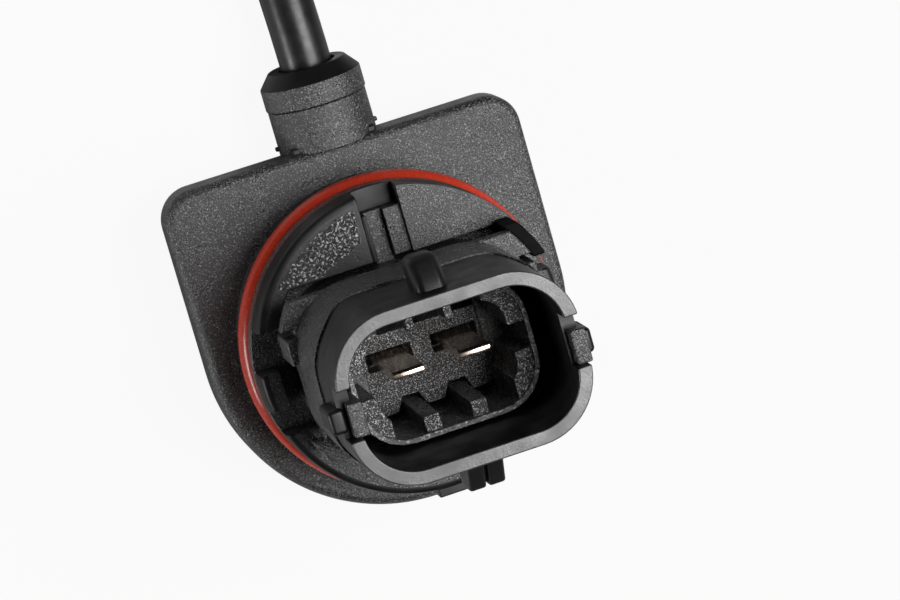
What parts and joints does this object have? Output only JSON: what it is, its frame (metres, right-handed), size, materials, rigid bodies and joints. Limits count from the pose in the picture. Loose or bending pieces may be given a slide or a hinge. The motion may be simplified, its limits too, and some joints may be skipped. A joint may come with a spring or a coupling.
{
  "type": "oil level sensor",
  "caption": "Flanged sensor head with a plug shroud, blade terminals and a red seal ring, on a coiled lead to a slotted hot-wire probe that senses the oil level.",
  "frame": {"origin": "centre of the round boss on the head's flat back face, which lies on z = 0", "axes": "+Z along the boss towards the plug that the shroud takes, +Y along the head's cable gland"},
  "size_m": [0.0703, 0.0969, 0.0381],
  "materials": {
    "black_moulding": "fine textured",
    "dark_insert": "matt",
    "red_silicone": "smooth satin",
    "black_rubber": "satin",
    "tinned_brass": "bright",
    "steel": "satin",
    "core_red": "satin",
    "core_black": "satin",
    "tie_nylon": "satin",
    "pale_nylon": "matt"
  },
  "bodies": {
    "root": {"housing": "black_moulding", "back_cover": "black_moulding", "seal_ring": "red_silicone", "terminal_insert": "dark_insert", "terminal_left": "tinned_brass", "terminal_right": "tinned_brass", "crimp_left": "tinned_brass", "crimp_right": "tinned_brass", "head_core_left": "core_black", "head_core_right": "core_red", "head_seal": "black_rubber", "head_gland_cap": "black_moulding", "cable": "black_rubber", "coil_tie": "tie_nylon", "probe_foot": "black_moulding", "probe_foot_cover": "black_moulding", "bush_front": "steel", "bush_back": "steel", "probe_seal": "black_rubber", "probe_gland_cap": "black_moulding", "probe_guard": "black_moulding", "probe_cap": "black_moulding", "wire_former": "pale_nylon", "hot_wire": "steel", "post_left": "tinned_brass", "post_right": "tinned_brass", "probe_core_left": "core_black", "probe_core_right": "core_red"}
  },
  "joints": []
}
